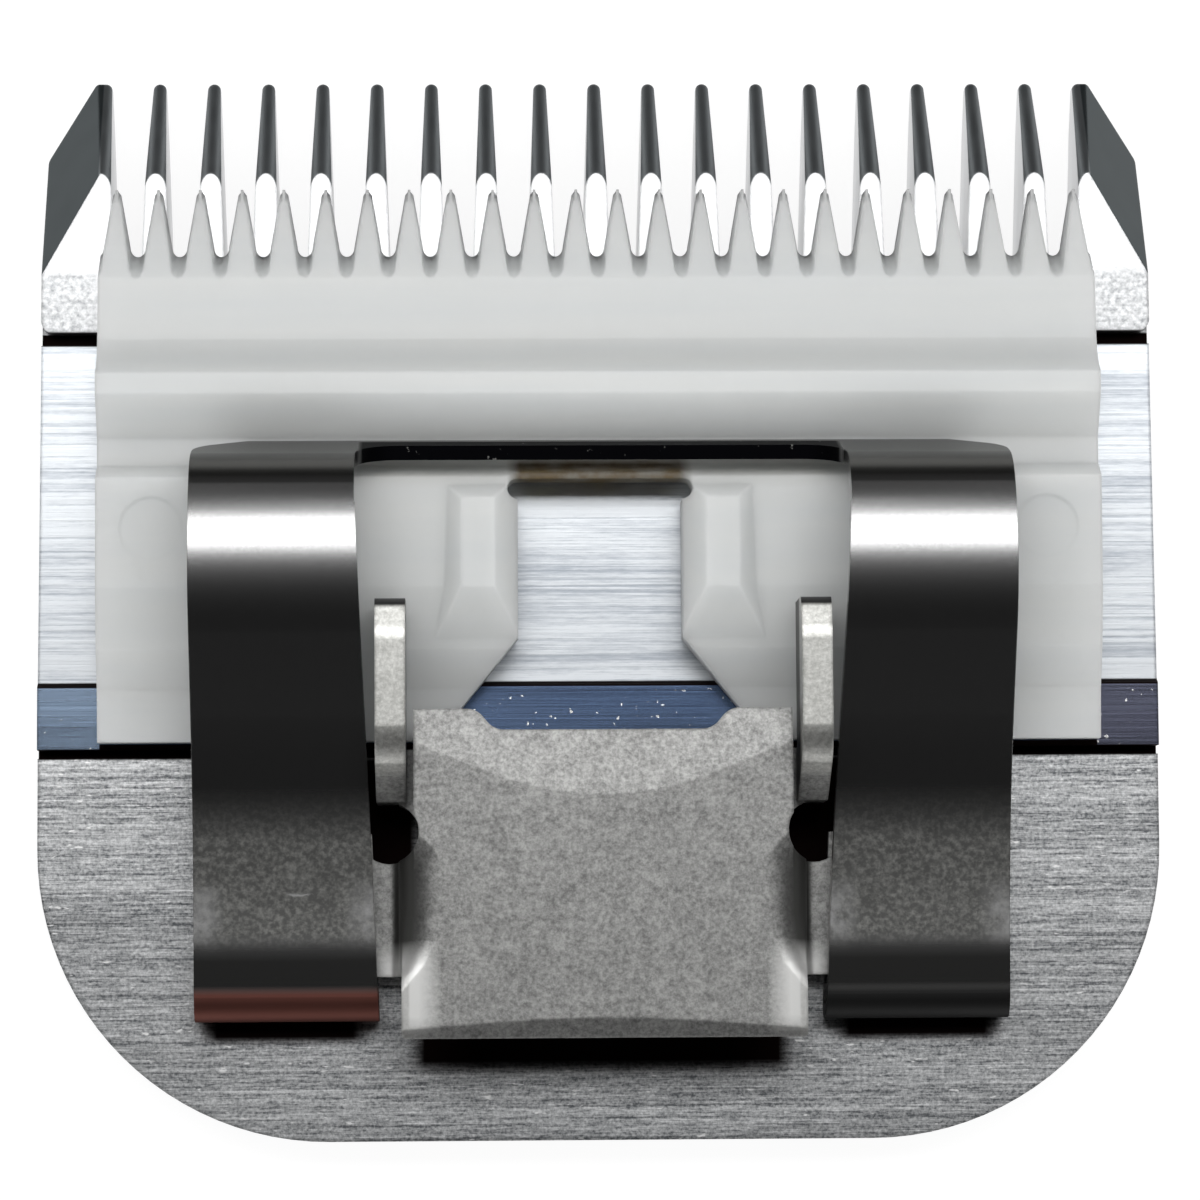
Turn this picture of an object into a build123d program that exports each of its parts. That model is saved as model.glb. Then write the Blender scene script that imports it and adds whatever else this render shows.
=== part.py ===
from build123d import *
import math
import os

# Detachable blade set for a hair clipper: a ground steel comb, a white ceramic cutter that slides
# across it, a looped strip spring that presses the cutter down, and a folded socket for the clipper's tongue.
# Millimetres. The comb lies flat on z = 0, its teeth point to +Y, and X runs along the row of teeth.

# Comb: outline and levels
comb_width = 49.0
comb_length = 47.0
comb_corner_radius = 12.7
comb_front_narrowing = 0.12
run_height = 3.8
middle_drop = 0.3
rear_drop = 0.4
relief_depth = 0.5
grinding_stock = 2.0

# Comb: stations along Y of the ground faces
rear_face_end = -6.83
rail_back = -6.46
rail_front = -3.71
middle_back = -3.56
middle_front = 11.31
run_face_back = 11.84
run_corner_radius = 0.55

# Comb teeth
comb_tooth_count = 19
comb_pitch = 2.425
comb_tooth_root = 14.0
comb_tip_width = 0.57
comb_root_width = 1.27
comb_root_radius = 0.5
ramp_top = 18.91
ramp_angle = 33.6
tooth_crown_radius = 0.5
crown_depth = 0.45
tip_lift = 0.35
tip_lift_length = 2.2
outer_shoulder = 14.4
outer_corner = 20.05
outer_tip_width = 0.7
outer_bevel_angle = 50.0
outer_corner_radius = 0.6
slot_run_out = 3.4
slot_run_out_bow = 0.75

# Cutter
cutter_width = 43.6
running_clearance = 0.02
cutter_back = -6.2
cutter_tip = 18.08
cutter_tip_height = 0.55
plate_front = 14.05
plate_front_height = 1.45
plate_back = 11.3
plate_height = 1.7
ridge_front = 9.67
ridge_back = 8.78
ridge_height = 2.9
ridge_front_hollow = 0.22
groove_front = 6.95
groove_back = 5.75
groove_height = 1.65
plateau_front = 5.15
plateau_height = 2.6
plateau_middle = 0.4
plateau_fall = 0.12
slope_top = -2.27
slope_top_height = 2.05
slope_foot = -3.96
slope_foot_height = 1.35
cutter_back_height = 1.1
under_relief_depth = 0.5
under_relief_back = -3.3
under_relief_front = 11.6

# Cutter teeth
cutter_tooth_count = 24
cutter_pitch = 1.832
cutter_gullet = 15.19
cutter_gullet_radius = 0.33
cutter_tip_width = 0.36
cutter_tip_bevel = 0.12
gullet_lean = 38.7

# Drive slot of the cutter, and the pads that stand beside it
slot_width = 7.14
slot_front = 5.1
slot_corner_radius = 0.45
slot_straight_end = -1.8
slot_mouth_half = 7.2
slot_edge_drop = 0.35
pad_top_outer = 6.0
pad_top_front = 4.2
pad_top_back = 0.35
pad_height = 0.5
pad_root = 0.6
pad_side_angle = 50.0
pad_back_angle = 66.0
ejector_diameter = 2.7
ejector_x = 19.4
ejector_y = 2.95
ejector_depth = 0.04

# Spring strip
strip_thickness = 0.6
spring_width = 35.1
bar_clearance = 0.05
crest_y = 1.33
crest_height = 11.2
crest_radius = 7.0
crest_fall = 25.0
nose_radius = 2.4
nose_flat = 0.05
arm_over_foot = 0.71
leg_slope = 74.0
arm_bend_y = -9.7
arm_bend_radius = 26.0
loop_back = -18.3
loop_height = 2.55
loop_radius = 0.85
leaf_front = -10.2
arm_inner_front = 10.55
arm_inner_back = 9.62
arm_inner_front_y = 4.6
bar_height = 1.5
bar_corner_radius = 1.8
lip_half_width = 15.1
lip_corner_share = 0.5
lip_corner_radius_share = 0.6

# Socket sheet
sheet = 1.3
tunnel_height = 4.3
cover_crown = 0.25
crown_radius = 150.0
wall_inside = 7.45
shoulder_radius = 1.45
foot_bend_radius = 1.15
cover_front = -5.05
cover_back = -19.04
wall_back = -16.4
flare_start = -13.9
flare_swings = (8.0, 24.0, 36.0, 46.0)
flare_run = 1.0
front_flare_run = 0.4
flare_step = 0.01
cover_front_half = 8.07
flare_half = 8.6
mouth_rise = 0.35
mouth_bevel_front = -18.0
mouth_bevel_angle = 22.0
flare_corner_radius = 0.2
cover_overlap = 1.6
notch_floor_half = 4.65
notch_side_run = 0.75
notch_depth = 0.9
notch_corner_radius = 0.9
facet_center = -9.6
facet_angle = 4.6
foot_front = -11.3
foot_outer = 16.6
foot_corner_radius = 1.4
relief_hole_diameter = 2.6
relief_hole_x = 9.17
relief_hole_y = -10.25
front_wall_top = 6.2

# Ears of the socket
ear_inside = 8.4
ear_front = -0.4
ear_top = 10.4
ear_nose_length = 1.5
ear_nose_drop = 0.4
ear_nose_radius = 0.55
ear_crown_radius = 2.0
ear_flat_back = -6.9
ear_back = -8.95
ear_back_height = 6.9
ear_top_radius = 1.8
ear_over_cutter = 0.3
cutter_end_gap = 0.45

# Clamp screws
screw_x = 13.2
screw_y = -13.85
screw_diameter = 3.0
screw_head_diameter = 5.5
screw_sink = 0.1
screw_end_inset = 0.1
screw_clearance = 0.05
hole_clearance = 0.2
driver_slot_width = 0.8
driver_slot_depth = 0.7

# Levels and places that follow from the sizes above
half_width = comb_width / 2
comb_back = -comb_length / 2
comb_tip = comb_length / 2
rear_level = run_height - rear_drop
middle_level = run_height - middle_drop
cutter_floor = run_height + running_clearance
raw_height = run_height + grinding_stock
leaf_top = rear_level + strip_thickness
foot_top = leaf_top + sheet
cover_underside = rear_level + tunnel_height
cover_top = cover_underside + sheet
outer_tooth_x = comb_pitch * (comb_tooth_count - 1) / 2

# How far a cut reaches past the material, in open and in narrow places
overshoot = 5.0
margin = 1.0

os.makedirs("parts", exist_ok=True)


# Comb blade

# one tapered inner tooth with a round tip
tip_half = comb_tip_width / 2
root_half = comb_root_width / 2
with BuildSketch() as comb_tooth:
    with BuildLine():
        Polyline(
            (tip_half, comb_tip - tip_half),
            (root_half, comb_tooth_root),
            (root_half, comb_tooth_root - margin),
            (-root_half, comb_tooth_root - margin),
            (-root_half, comb_tooth_root),
            (-tip_half, comb_tip - tip_half),
        )
        ThreePointArc((-tip_half, comb_tip - tip_half), (0, comb_tip), (tip_half, comb_tip - tip_half))
    make_face()

# the broad outer tooth on the +X side, cut back along a diagonal
front_half = half_width - comb_front_narrowing
with BuildSketch() as outer_tooth:
    with BuildLine():
        Polyline(
            (outer_tooth_x - root_half, comb_tooth_root - margin),
            (outer_tooth_x - root_half, comb_tooth_root),
            (outer_tooth_x - tip_half, comb_tip),
            (outer_tooth_x - tip_half + outer_tip_width, comb_tip),
            (front_half, outer_corner),
            (front_half, comb_tooth_root - margin),
            close=True,
        )
    make_face()
    fillet(outer_tooth.vertices().group_by(Axis.Y)[-1], radius=tip_half)
    fillet(outer_tooth.vertices().filter_by(lambda v: abs(v.Y - outer_corner) < 0.01), radius=outer_corner_radius)

tooth_places = [((i - (comb_tooth_count - 1) / 2) * comb_pitch, 0) for i in range(comb_tooth_count)]
inner_tooth_places = tooth_places[1:-1]
gap_places = [((i - (comb_tooth_count - 2) / 2) * comb_pitch, 0) for i in range(comb_tooth_count - 1)]

with BuildPart() as comb:
    with BuildSketch():
        with BuildLine():
            Polyline(
                (half_width, comb_back),
                (half_width, rail_front),
                (front_half, comb_tooth_root),
                (-front_half, comb_tooth_root),
                (-half_width, rail_front),
                (-half_width, comb_back),
                close=True,
            )
        make_face()
        with Locations(*inner_tooth_places):
            add(comb_tooth.sketch)
        add(outer_tooth.sketch)
        add(mirror(outer_tooth.sketch, about=Plane.YZ, mode=Mode.PRIVATE))
        gap_roots = [
            v for v in vertices()
            if abs(v.Y - comb_tooth_root) < 0.01 and abs(v.X) < outer_tooth_x
        ]
        fillet(gap_roots, radius=comb_root_radius)
        fillet(vertices().group_by(Axis.Y)[0], radius=comb_corner_radius)
    extrude(amount=raw_height)

    # the ramp down to the tips, crowned along each tooth before the faces are ground
    ramp = math.radians(ramp_angle)
    ramp_plane = Plane(
        origin=(0, ramp_top, run_height),
        x_dir=(1, 0, 0),
        z_dir=(0, -math.cos(ramp), math.sin(ramp)),
    )
    with BuildSketch(ramp_plane):
        with Locations((0, overshoot - crown_depth)):
            Rectangle(2 * comb_width, 2 * overshoot)
        with Locations(*[(x, -tooth_crown_radius) for x, y in tooth_places]):
            Circle(tooth_crown_radius, mode=Mode.SUBTRACT)
        with Locations((outer_tooth_x + overshoot, -overshoot), (-outer_tooth_x - overshoot, -overshoot)):
            Rectangle(2 * overshoot, 2 * overshoot, mode=Mode.SUBTRACT)
    extrude(amount=2 * overshoot, both=True, mode=Mode.SUBTRACT)

    # the steep bevel across each outer tooth
    bevel_start = Vector(outer_tooth_x, ramp_top, run_height)
    bevel_end = Vector(front_half, outer_shoulder, run_height)
    bevel_run = (bevel_end - bevel_start).normalized()
    bevel_out = bevel_run.cross(Vector(0, 0, -1)).normalized()
    tilt = math.radians(outer_bevel_angle)
    bevel_normal = bevel_out * math.sin(tilt) + Vector(0, 0, 1) * math.cos(tilt)
    bevel_plane = Plane(origin=bevel_start, x_dir=bevel_run, z_dir=bevel_normal)
    for plane in (bevel_plane, Plane(
        origin=(-bevel_start.X, bevel_start.Y, bevel_start.Z),
        x_dir=(-bevel_run.X, bevel_run.Y, 0),
        z_dir=(-bevel_normal.X, bevel_normal.Y, bevel_normal.Z),
    )):
        with BuildSketch(plane):
            Rectangle(4 * overshoot, 4 * overshoot)
        extrude(amount=2 * overshoot, mode=Mode.SUBTRACT)

    # the ground faces: rear body, rail, middle face and running face, with relief grooves between them
    with BuildSketch(Plane.YZ):
        with BuildLine():
            Polyline(
                (comb_back - overshoot, rear_level),
                (rear_face_end, rear_level),
                (rear_face_end, rear_level - relief_depth),
                (rail_back, rear_level - relief_depth),
                (rail_back, run_height),
                (rail_front, run_height),
                (middle_back, middle_level),
                (middle_front, middle_level),
                (middle_front, middle_level - relief_depth),
                (run_face_back, middle_level - relief_depth),
                (run_face_back, run_height),
                (comb_tip + overshoot, run_height),
                (comb_tip + overshoot, raw_height + overshoot),
                (comb_back - overshoot, raw_height + overshoot),
                close=True,
            )
        make_face()
    extrude(amount=comb_width, both=True, mode=Mode.SUBTRACT)
    narrowing_share = (comb_tooth_root - run_face_back) / (comb_tooth_root - rail_front)
    run_corner_x = front_half + comb_front_narrowing * narrowing_share
    with BuildSketch(Plane.XY.offset(middle_level - relief_depth)):
        with Locations(
            (run_corner_x, run_face_back + run_corner_radius / 2),
            (-run_corner_x, run_face_back + run_corner_radius / 2),
        ):
            Rectangle(2 * run_corner_radius, run_corner_radius)
        with Locations(
            (run_corner_x - run_corner_radius, run_face_back + run_corner_radius),
            (run_corner_radius - run_corner_x, run_face_back + run_corner_radius),
        ):
            Circle(run_corner_radius, mode=Mode.SUBTRACT)
    extrude(amount=raw_height, mode=Mode.SUBTRACT)

    # the underside lifts towards the tips
    with BuildSketch(Plane.YZ):
        with BuildLine():
            Polyline(
                (comb_tip - tip_lift_length, 0),
                (comb_tip + tip_lift_length, 2 * tip_lift),
                (comb_tip + tip_lift_length, -overshoot),
                (comb_tip - tip_lift_length, -overshoot),
                close=True,
            )
        make_face()
    extrude(amount=comb_width, both=True, mode=Mode.SUBTRACT)

    # each gap between teeth runs out under the comb, as the wheel that cut it left it
    gap_half = (comb_pitch - comb_root_width) / 2
    for place in gap_places:
        with BuildSketch(Plane.YZ.offset(place[0] - gap_half)):
            with BuildLine():
                Polyline(
                    (comb_tooth_root, run_height - relief_depth),
                    (comb_tooth_root + margin, run_height - relief_depth),
                    (comb_tooth_root + margin, -overshoot),
                    (comb_tooth_root - slot_run_out, -overshoot),
                    (comb_tooth_root - slot_run_out, 0),
                )
                SagittaArc(
                    (comb_tooth_root - slot_run_out, 0),
                    (comb_tooth_root, run_height - relief_depth),
                    slot_run_out_bow,
                )
            make_face()
        extrude(amount=2 * gap_half, mode=Mode.SUBTRACT)

    # countersunk screw holes from below
    with Locations(
        Plane(origin=(screw_x, screw_y, 0), z_dir=(0, 0, -1)),
        Plane(origin=(-screw_x, screw_y, 0), z_dir=(0, 0, -1)),
    ):
        CounterSinkHole(
            radius=screw_diameter / 2 + hole_clearance,
            counter_sink_radius=screw_head_diameter / 2 + screw_sink + screw_clearance,
            counter_sink_angle=90,
        )
comb.part.label = "comb_blade"
export_step(comb.part, "parts/comb_blade.step")


# Cutter blade

# one gap between two cutter teeth, seen along its lean: a round root, and bevelled corners at the tips
lean = math.radians(gullet_lean)
tip_reach = (cutter_tip - cutter_gullet) * math.cos(lean)
gap_at_tip = (cutter_pitch - cutter_tip_width) / 2
gap_at_end = gap_at_tip + cutter_tip_bevel
with BuildSketch() as cutter_gap:
    with BuildLine():
        Polyline(
            (cutter_gullet_radius, cutter_gullet_radius),
            (gap_at_tip, tip_reach - cutter_tip_bevel),
            (gap_at_end, tip_reach),
            (gap_at_end, tip_reach + overshoot),
            (-gap_at_end, tip_reach + overshoot),
            (-gap_at_end, tip_reach),
            (-gap_at_tip, tip_reach - cutter_tip_bevel),
            (-cutter_gullet_radius, cutter_gullet_radius),
        )
        ThreePointArc(
            (-cutter_gullet_radius, cutter_gullet_radius), (0, 0), (cutter_gullet_radius, cutter_gullet_radius)
        )
    make_face()

cutter_gap_places = [((i - cutter_tooth_count / 2) * cutter_pitch, 0) for i in range(cutter_tooth_count + 1)]

# one block for both pads, which the drive slot parts: it slopes on all sides, most gently at the back
pad_floor = cutter_floor + plateau_height - pad_root
pad_top = cutter_floor + plateau_height + pad_height
pad_side_run = (pad_top - pad_floor) * math.tan(math.radians(pad_side_angle))
pad_back_run = (pad_top - pad_floor) * math.tan(math.radians(pad_back_angle))
with BuildPart() as pads:
    with BuildSketch(Plane.YZ):
        with BuildLine():
            Polyline(
                (pad_top_front + pad_side_run, pad_floor),
                (pad_top_front, pad_top),
                (pad_top_back, pad_top),
                (pad_top_back - pad_back_run, pad_floor),
                close=True,
            )
        make_face()
    extrude(amount=2 * pad_top_outer, both=True)
    with BuildSketch(Plane.XZ):
        with BuildLine():
            Polyline(
                (pad_top_outer + pad_side_run, pad_floor),
                (pad_top_outer, pad_top),
                (-pad_top_outer, pad_top),
                (-pad_top_outer - pad_side_run, pad_floor),
                close=True,
            )
        make_face()
    extrude(amount=2 * overshoot, both=True, mode=Mode.INTERSECT)

with BuildPart() as cutter:
    with BuildSketch(Plane.YZ):
        with BuildLine():
            Polyline(
                (cutter_back, cutter_floor),
                (cutter_back, cutter_floor + cutter_back_height),
                (slope_foot, cutter_floor + slope_foot_height),
                (slope_top, cutter_floor + slope_top_height),
                (plateau_middle, cutter_floor + plateau_height - plateau_fall),
                (plateau_front, cutter_floor + plateau_height),
                (groove_back, cutter_floor + groove_height),
                (groove_front, cutter_floor + groove_height),
                (ridge_back, cutter_floor + ridge_height),
                (ridge_front, cutter_floor + ridge_height),
            )
            SagittaArc(
                (ridge_front, cutter_floor + ridge_height),
                (plate_back, cutter_floor + plate_height),
                -ridge_front_hollow,
            )
            Polyline(
                (plate_back, cutter_floor + plate_height),
                (plate_front, cutter_floor + plate_front_height),
                (cutter_tip, cutter_floor + cutter_tip_height),
                (cutter_tip, cutter_floor),
                (under_relief_front, cutter_floor),
                (under_relief_front, cutter_floor + under_relief_depth),
                (under_relief_back, cutter_floor + under_relief_depth),
                (under_relief_back, cutter_floor),
                (cutter_back, cutter_floor),
            )
        make_face()
    extrude(amount=cutter_width / 2, both=True)

    add(pads.part)

    # the drive slot, open to the back through a flared mouth
    with BuildSketch(Plane.XY.offset(cutter_floor - overshoot)):
        with BuildLine():
            Polyline(
                (slot_width / 2, slot_front),
                (slot_width / 2, slot_straight_end),
                (slot_mouth_half, cutter_back),
                (slot_mouth_half, cutter_back - overshoot),
                (-slot_mouth_half, cutter_back - overshoot),
                (-slot_mouth_half, cutter_back),
                (-slot_width / 2, slot_straight_end),
                (-slot_width / 2, slot_front),
                close=True,
            )
        make_face()
        with Locations(
            (slot_width / 2, slot_front - slot_corner_radius),
            (-slot_width / 2, slot_front - slot_corner_radius),
        ):
            Circle(slot_corner_radius)
    extrude(amount=4 * overshoot, mode=Mode.SUBTRACT)

    # the pads slope down to the slot's upper edges
    slot_edge_level = cutter_floor + plateau_height - slot_edge_drop
    slot_edge_run = margin * math.tan(math.radians(pad_side_angle))
    with BuildSketch(Plane.XZ.offset(-groove_back)):
        with BuildLine():
            Polyline(
                (slot_width / 2, slot_edge_level),
                (slot_width / 2 + slot_edge_run, slot_edge_level + margin),
                (-slot_width / 2 - slot_edge_run, slot_edge_level + margin),
                (-slot_width / 2, slot_edge_level),
                close=True,
            )
        make_face()
    extrude(amount=groove_back - slot_straight_end, mode=Mode.SUBTRACT)

    # the gullets lean back as they rise, so that each tooth is narrower at its top
    with BuildSketch(Plane(
        origin=(0, cutter_gullet, cutter_floor), x_dir=(1, 0, 0), z_dir=(0, -math.sin(lean), math.cos(lean))
    )):
        with Locations(*cutter_gap_places):
            add(cutter_gap.sketch)
    extrude(amount=overshoot, both=True, mode=Mode.SUBTRACT)

    # moulding marks on the end plateaus
    with BuildSketch(Plane.XY.offset(cutter_floor + plateau_height - ejector_depth - plateau_fall / 2)):
        with Locations((ejector_x, ejector_y), (-ejector_x, ejector_y)):
            Circle(ejector_diameter / 2)
    extrude(amount=plateau_height, mode=Mode.SUBTRACT)
cutter.part.label = "cutter_blade"
export_step(cutter.part, "parts/cutter_blade.step")


# Tension spring

crest_center = Vector(crest_y, crest_height - strip_thickness / 2 - crest_radius)
arm_bend_level = foot_top + arm_over_foot + strip_thickness / 2
to_crest = crest_center - Vector(arm_bend_y, arm_bend_level)
arm_slope = math.atan2(to_crest.Y, to_crest.X) + math.asin(crest_radius / to_crest.length)
fall = math.radians(crest_fall)
crest_turn = (arm_slope + fall) / 2
crest_lean = (fall - arm_slope) / 2
crest_reach = crest_radius / math.cos(crest_turn)
crest_corner = crest_center + Vector(crest_reach * math.sin(crest_lean), crest_reach * math.cos(crest_lean))
nose_turn = math.radians(leg_slope - crest_fall) / 2
nose_run = crest_radius * math.tan(crest_turn) + nose_flat + nose_radius * math.tan(nose_turn)
nose_corner = Vector(crest_corner.X + nose_run * math.cos(fall), crest_corner.Y - nose_run * math.sin(fall))
lip_end_level = cutter_floor + groove_height + bar_clearance
leg_top = nose_corner.Y - nose_radius * math.tan(nose_turn) * math.sin(math.radians(leg_slope))
lip_corner_level = lip_end_level + lip_corner_share * (leg_top - lip_end_level)
lip_end_y = nose_corner.X + (nose_corner.Y - lip_end_level) / math.tan(math.radians(leg_slope))
leaf_middle = rear_level + strip_thickness / 2
loop_line = loop_back + strip_thickness / 2

with BuildPart() as spring:
    with BuildSketch(Plane.YZ):
        with BuildLine() as strip_line:
            FilletPolyline(
                (leaf_front, leaf_middle),
                (loop_line, leaf_middle),
                (loop_line, leaf_middle + loop_height - strip_thickness),
                (arm_bend_y, arm_bend_level),
                (crest_corner.X, crest_corner.Y),
                (nose_corner.X, nose_corner.Y),
                (lip_end_y, lip_end_level),
                radius=[loop_radius, loop_radius, arm_bend_radius, crest_radius, nose_radius],
            )
        trace(strip_line.line, line_width=strip_thickness)
    extrude(amount=spring_width / 2, both=True)

    # the groove's floor stops the lip, so its end is level
    with BuildSketch(Plane.XY.offset(lip_end_level)):
        with Locations((0, lip_end_y)):
            Rectangle(2 * spring_width, 4 * strip_thickness)
    extrude(amount=-overshoot, mode=Mode.SUBTRACT)

    # the window that parts the strip into two arms, open at the back
    with BuildSketch(Plane.XY.offset(-overshoot)):
        with BuildLine():
            Polyline(
                (arm_inner_front, arm_inner_front_y),
                (arm_inner_back, loop_back),
                (arm_inner_back, loop_back - overshoot),
                (-arm_inner_back, loop_back - overshoot),
                (-arm_inner_back, loop_back),
                (-arm_inner_front, arm_inner_front_y),
                close=True,
            )
        make_face()
    extrude(amount=crest_height + 2 * overshoot, mode=Mode.SUBTRACT)
    window_floor = lip_end_level + bar_height
    with BuildSketch(Plane.XZ.offset(-arm_inner_front_y - overshoot)):
        with Locations((0, window_floor + overshoot)):
            RectangleRounded(2 * arm_inner_front, 2 * overshoot, bar_corner_radius)
    extrude(amount=overshoot + margin, mode=Mode.SUBTRACT)

    # the lip's outer corners are cut away and rounded
    for side in (1, -1):
        with BuildSketch(Plane.XZ.offset(-arm_inner_front_y - overshoot)):
            with BuildLine():
                Polyline(
                    (side * lip_half_width, lip_end_level - margin),
                    (side * lip_half_width, lip_end_level),
                    (side * spring_width / 2, lip_corner_level),
                    (side * spring_width, lip_corner_level),
                    (side * spring_width, lip_end_level - margin),
                    close=True,
                )
            make_face()
        extrude(amount=overshoot + margin, mode=Mode.SUBTRACT)
    lip_corners = edges().filter_by(Axis.Y).filter_by(lambda e: abs(e.center().Z - lip_corner_level) < 0.01)
    fillet(lip_corners, radius=lip_corner_radius_share * (leg_top - lip_end_level))

    # screw holes in the two lower leaves
    with BuildSketch(Plane.XY.offset(rear_level - margin)):
        with Locations((screw_x, screw_y), (-screw_x, screw_y)):
            Circle(screw_diameter / 2 + hole_clearance)
    extrude(amount=strip_thickness + 2 * margin, mode=Mode.SUBTRACT)
spring.part.label = "tension_spring"
export_step(spring.part, "parts/tension_spring.step")


# Blade socket

wall_line = wall_inside + sheet / 2
foot_line = leaf_top + sheet / 2
cover_line = cover_underside + sheet / 2
wall_outside = wall_inside + sheet
over_cutter = cutter_floor + plateau_height + ear_over_cutter
behind_cutter = cutter_back - cutter_end_gap
with BuildPart() as socket:
    # the folded section behind the relief holes: foot, wall, crowned cover, wall, foot
    with BuildSketch(Plane.XZ.offset(-relief_hole_y)):
        with BuildLine() as fold_line:
            FilletPolyline(
                (foot_outer, foot_line),
                (wall_line, foot_line),
                (wall_line, cover_line - cover_crown),
                (0, cover_line),
                (-wall_line, cover_line - cover_crown),
                (-wall_line, foot_line),
                (-foot_outer, foot_line),
                radius=[foot_bend_radius, shoulder_radius, crown_radius, shoulder_radius, foot_bend_radius],
            )
        trace(fold_line.line, line_width=sheet)
    extrude(amount=relief_hole_y - wall_back)
    with BuildSketch(Plane.XY):
        with Locations(
            (wall_outside + overshoot, foot_front + overshoot),
            (-wall_outside - overshoot, foot_front + overshoot),
        ):
            Rectangle(2 * overshoot, 2 * overshoot)
    extrude(amount=cover_underside - foot_bend_radius, mode=Mode.SUBTRACT)
    foot_corners = edges().filter_by(Axis.Z).filter_by(lambda e: abs(abs(e.center().X) - foot_outer) < 0.01)
    fillet(foot_corners, radius=foot_corner_radius)

    # the cover goes on flat in front of the walls and behind them
    for half, front, back in (
        (cover_front_half, cover_front, relief_hole_y - cover_overlap),
        (flare_half, flare_start, cover_back),
    ):
        edge_line = cover_line - cover_crown * half / wall_line
        with BuildSketch(Plane.XZ.offset(-front)):
            with BuildLine() as cover_arc:
                FilletPolyline((-half, edge_line), (0, cover_line), (half, edge_line), radius=crown_radius)
            trace(cover_arc.line, line_width=sheet)
        extrude(amount=front - back)

    # the mouth opens a little for the tongue, and its top edge is bevelled
    with BuildSketch(Plane.YZ):
        with BuildLine():
            Polyline(
                (wall_back, cover_underside - cover_crown),
                (cover_back, cover_underside + mouth_rise),
                (cover_back - margin, cover_underside + mouth_rise),
                (cover_back - margin, cover_underside - cover_crown),
                close=True,
            )
        make_face()
    extrude(amount=2 * flare_half, both=True, mode=Mode.SUBTRACT)
    mouth_edges = edges().filter_by(lambda e: abs(e.center().Y - cover_back) < 0.01)
    mouth_corners = mouth_edges.filter_by(lambda e: abs(abs(e.center().X) - flare_half) < 0.1)
    fillet(mouth_corners, radius=flare_corner_radius)
    bevel_lean = math.radians(mouth_bevel_angle)
    with BuildSketch(Plane(
        origin=(0, mouth_bevel_front, cover_top),
        x_dir=(1, 0, 0),
        z_dir=(0, -math.sin(bevel_lean), math.cos(bevel_lean)),
    )):
        Rectangle(4 * overshoot, 4 * overshoot)
    extrude(amount=overshoot, mode=Mode.SUBTRACT)

    # the rounded shoulders of the walls swing out into the flat cover at both ends, more with each run
    shoulder_axis = wall_line - shoulder_radius
    shoulder_level = cover_line - cover_crown - shoulder_radius * (1 - cover_crown / wall_line)
    for start, run, end, heading in (
        (relief_hole_y - cover_overlap, front_flare_run, cover_front + margin, 1),
        (flare_start, flare_run, cover_back - margin, -1),
    ):
        for side in (1, -1):
            station = start
            axis_x = shoulder_axis
            for swing in map(math.radians, flare_swings):
                stop = end if swing == math.radians(flare_swings[-1]) else station + heading * run
                with BuildSketch(Plane.XZ.offset(-station)):
                    with Locations((side * (axis_x + overshoot), shoulder_level + overshoot)):
                        Rectangle(2 * overshoot, 2 * overshoot)
                    with Locations((side * axis_x, shoulder_level)):
                        Circle(shoulder_radius + sheet / 2 + flare_step, mode=Mode.SUBTRACT)
                extrude(
                    amount=abs(stop - station) / math.cos(swing),
                    dir=(side * math.sin(swing), heading * math.cos(swing), 0),
                    mode=Mode.SUBTRACT,
                )
                axis_x += run * math.tan(swing)
                station = stop

    # the coined facet along the front of the cover, and the notch in its edge
    facet = math.radians(facet_angle)
    with BuildSketch(Plane(
        origin=(0, facet_center, cover_top), x_dir=(1, 0, 0), z_dir=(0, math.sin(facet), math.cos(facet))
    )):
        Rectangle(4 * overshoot, 4 * overshoot)
    extrude(amount=overshoot, mode=Mode.SUBTRACT)
    notch_front_half = notch_floor_half + notch_side_run
    with BuildSketch(Plane.XY.offset(cover_underside - margin)):
        with BuildLine():
            Polyline(
                (notch_front_half, cover_front + margin),
                (notch_front_half, cover_front),
                (notch_floor_half, cover_front - notch_depth),
                (-notch_floor_half, cover_front - notch_depth),
                (-notch_front_half, cover_front),
                (-notch_front_half, cover_front + margin),
                close=True,
            )
        make_face()
    extrude(amount=overshoot, mode=Mode.SUBTRACT)
    notch_corners = edges().filter_by(Axis.Z).filter_by(
        lambda e: min(abs(abs(e.center().X) - x) for x in (notch_front_half, notch_floor_half)) < 0.01
    )
    fillet(notch_corners, radius=notch_corner_radius)

    # the walls go on lower in front, up to the cutter, and the relief holes part them from the cover
    front_wall_length = behind_cutter - relief_hole_y
    front_wall_y = (behind_cutter + relief_hole_y) / 2
    with BuildSketch(Plane.XY.offset(leaf_top)):
        with Locations((wall_line, front_wall_y), (-wall_line, front_wall_y)):
            Rectangle(sheet, front_wall_length)
    extrude(amount=front_wall_top - leaf_top)
    with BuildSketch(Plane.XY):
        with Locations((relief_hole_x, relief_hole_y), (-relief_hole_x, relief_hole_y)):
            Circle(relief_hole_diameter / 2)
    extrude(amount=2 * overshoot, mode=Mode.SUBTRACT)

    # the standing ears, which pass over the back of the cutter
    for side in (1, -1):
        with BuildSketch(Plane.YZ.offset(side * ear_inside)):
            with BuildLine():
                FilletPolyline(
                    (ear_front, over_cutter),
                    (ear_front, ear_top - ear_nose_drop),
                    (ear_front - ear_nose_length, ear_top),
                    (ear_flat_back, ear_top),
                    (ear_back, ear_back_height),
                    (ear_back, leaf_top),
                    (behind_cutter, leaf_top),
                    (behind_cutter, over_cutter),
                    radius=[0, ear_nose_radius, ear_crown_radius, ear_top_radius, 0, 0, 0, 0],
                    close=True,
                )
            make_face()
        extrude(amount=side * sheet)

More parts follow.
